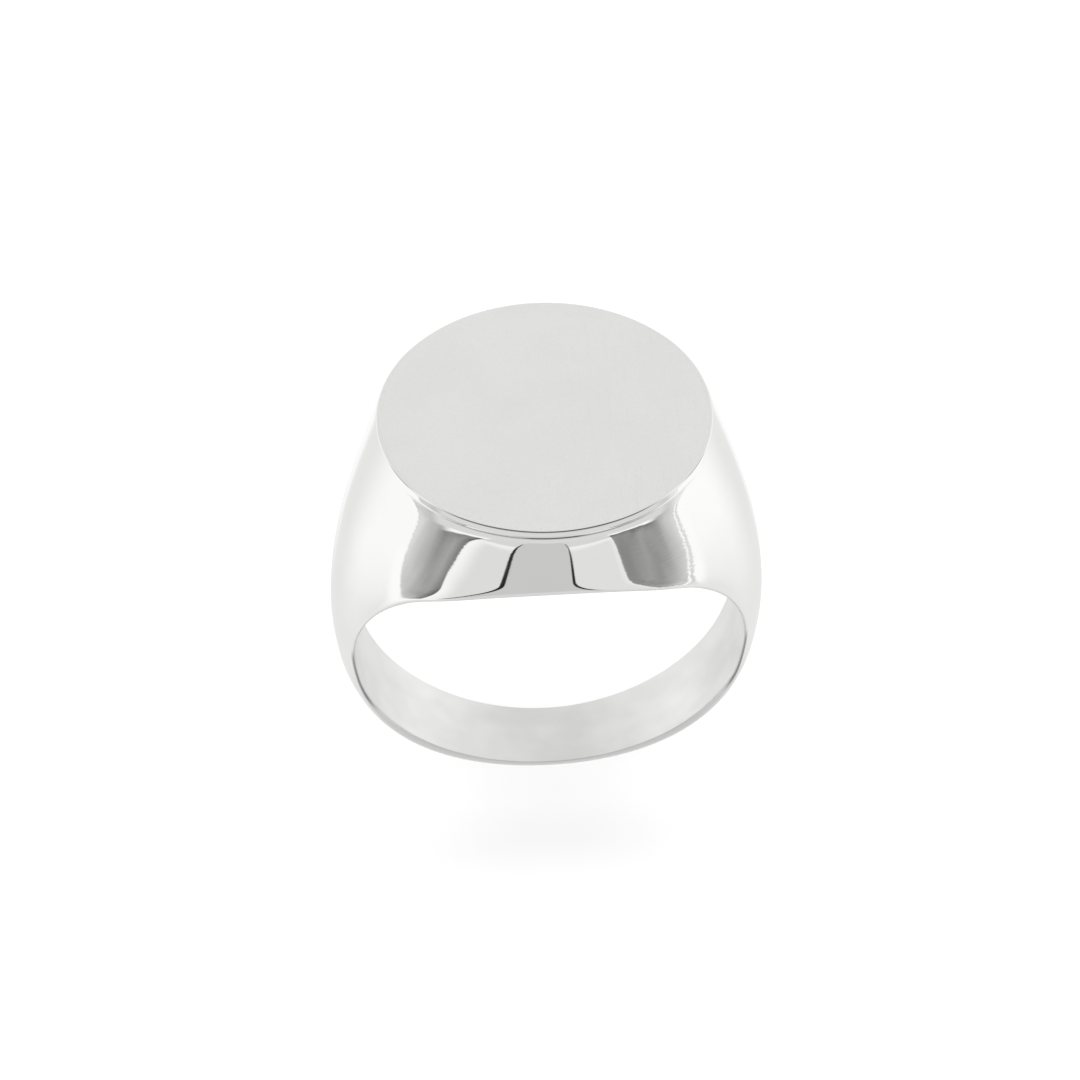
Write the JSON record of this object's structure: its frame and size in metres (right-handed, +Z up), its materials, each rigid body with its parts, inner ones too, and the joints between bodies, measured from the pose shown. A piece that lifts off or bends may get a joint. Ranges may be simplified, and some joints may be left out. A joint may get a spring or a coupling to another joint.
{
  "type": "signet ring",
  "caption": "Plain metal signet ring: a flat round satin table on flared polished shoulders that taper to a slim half-round shank.",
  "frame": {"origin": "centre of the finger hole", "axes": "+Z up through the flat round table, +Y along the finger, +X across the finger"},
  "size_m": [0.0212, 0.0154, 0.0242],
  "materials": {
    "satin_table": "fine-grained satin silver",
    "polished_body": "mirror-polished silver",
    "brushed_inside": "lightly brushed silver"
  },
  "bodies": {
    "root": {"table_plate": "satin_table", "front_wall": "polished_body", "back_wall": "polished_body", "left_shoulder": "polished_body", "right_shoulder": "polished_body", "inner_liner": "brushed_inside", "shank": "polished_body"}
  },
  "joints": []
}
